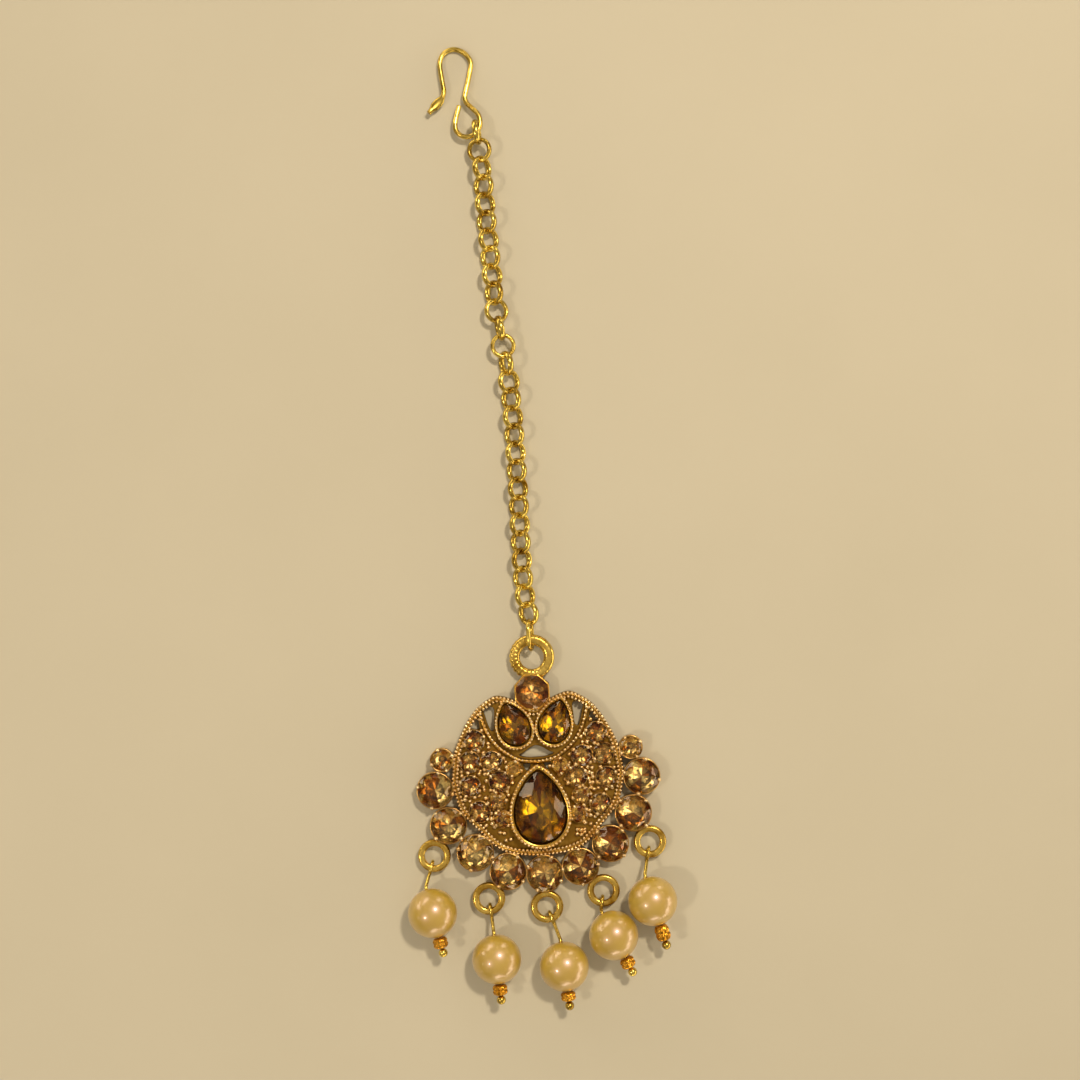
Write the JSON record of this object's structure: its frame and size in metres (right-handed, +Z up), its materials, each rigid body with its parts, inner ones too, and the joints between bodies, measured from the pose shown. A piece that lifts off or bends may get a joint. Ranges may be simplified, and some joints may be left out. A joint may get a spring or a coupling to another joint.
{
  "type": "maang tikka",
  "caption": "Forehead jewel lying flat: a wire hook, a chain of round links, a pierced cast pendant set with cut champagne and amber stones, and pearl drops on head pins",
  "frame": {"origin": "middle of the bounding box, on the surface that the jewel lies on", "axes": "+Z up from the surface, +Y along the jewel towards the hook, +X to the right seen from above"},
  "size_m": [0.0382, 0.1374, 0.007],
  "materials": {
    "antique_gold": "antique gold plating over a cast base, dark in the recesses",
    "pale_gold": "bright pale gold plating on drawn wire",
    "champagne_stone": "foil-backed cut glass, champagne brown",
    "amber_stone": "foil-backed cut glass, amber yellow",
    "pearl": "cream pearl lacquer, satin nacre sheen"
  },
  "bodies": {
    "root": {"pendant_frame": "antique_gold", "row_stone_1": "champagne_stone", "row_stone_2": "champagne_stone", "row_stone_3": "champagne_stone", "row_stone_4": "champagne_stone", "row_stone_5": "champagne_stone", "row_stone_6": "champagne_stone", "row_stone_7": "champagne_stone", "row_stone_8": "champagne_stone", "row_stone_9": "champagne_stone", "row_stone_10": "champagne_stone", "row_stone_11": "champagne_stone", "field_stone_left_1": "champagne_stone", "field_stone_left_2": "champagne_stone", "field_stone_left_3": "champagne_stone", "field_stone_left_4": "champagne_stone", "field_stone_left_5": "champagne_stone", "field_stone_left_6": "champagne_stone", "field_stone_left_7": "champagne_stone", "field_stone_left_8": "champagne_stone", "field_stone_left_9": "champagne_stone", "field_stone_right_1": "champagne_stone", "field_stone_right_2": "champagne_stone", "field_stone_right_3": "champagne_stone", "field_stone_right_4": "champagne_stone", "field_stone_right_5": "champagne_stone", "field_stone_right_6": "champagne_stone", "field_stone_right_7": "champagne_stone", "field_stone_right_8": "champagne_stone", "field_stone_right_9": "champagne_stone", "neck_stone": "champagne_stone", "centre_stone": "amber_stone", "top_stone_left": "amber_stone", "top_stone_right": "amber_stone", "pearl_1": "pearl", "pearl_2": "pearl", "pearl_3": "pearl", "pearl_4": "pearl", "pearl_5": "pearl", "cap_bead_1": "antique_gold", "cap_bead_2": "antique_gold", "cap_bead_3": "antique_gold", "cap_bead_4": "antique_gold", "cap_bead_5": "antique_gold", "head_pin_1": "pale_gold", "head_pin_2": "pale_gold", "head_pin_3": "pale_gold", "head_pin_4": "pale_gold", "head_pin_5": "pale_gold", "chain": "pale_gold", "hook": "pale_gold"}
  },
  "joints": []
}
